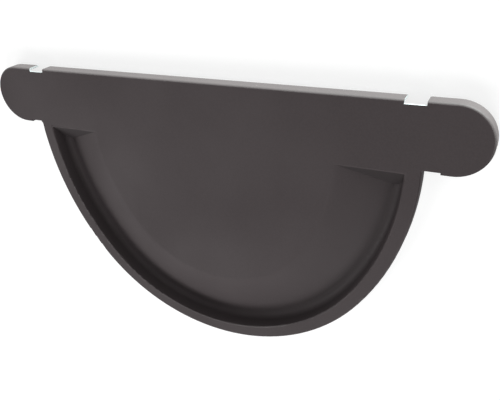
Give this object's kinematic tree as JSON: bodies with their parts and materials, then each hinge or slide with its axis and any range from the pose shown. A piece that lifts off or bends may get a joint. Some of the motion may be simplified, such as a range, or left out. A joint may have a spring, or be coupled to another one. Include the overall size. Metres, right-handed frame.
{
  "type": "gutter end cap",
  "caption": "Half-round gutter end cap pressed from painted steel sheet: a bar with round lobes above a half-round rim, a groove inside the rim and a flange bent back all round.",
  "frame": {"origin": "under the middle of the outline, on the level that the groove's ridge rests on, as it lies on its back", "axes": "+X along the bar, +Y towards the bar's top edge, +Z out of the outside face"},
  "size_m": [0.16, 0.0892, 0.0056],
  "materials": {
    "coated_steel": "grey-brown factory paint on thin steel sheet, satin, smooth"
  },
  "bodies": {
    "root": {"end_cap": "coated_steel"}
  },
  "joints": []
}
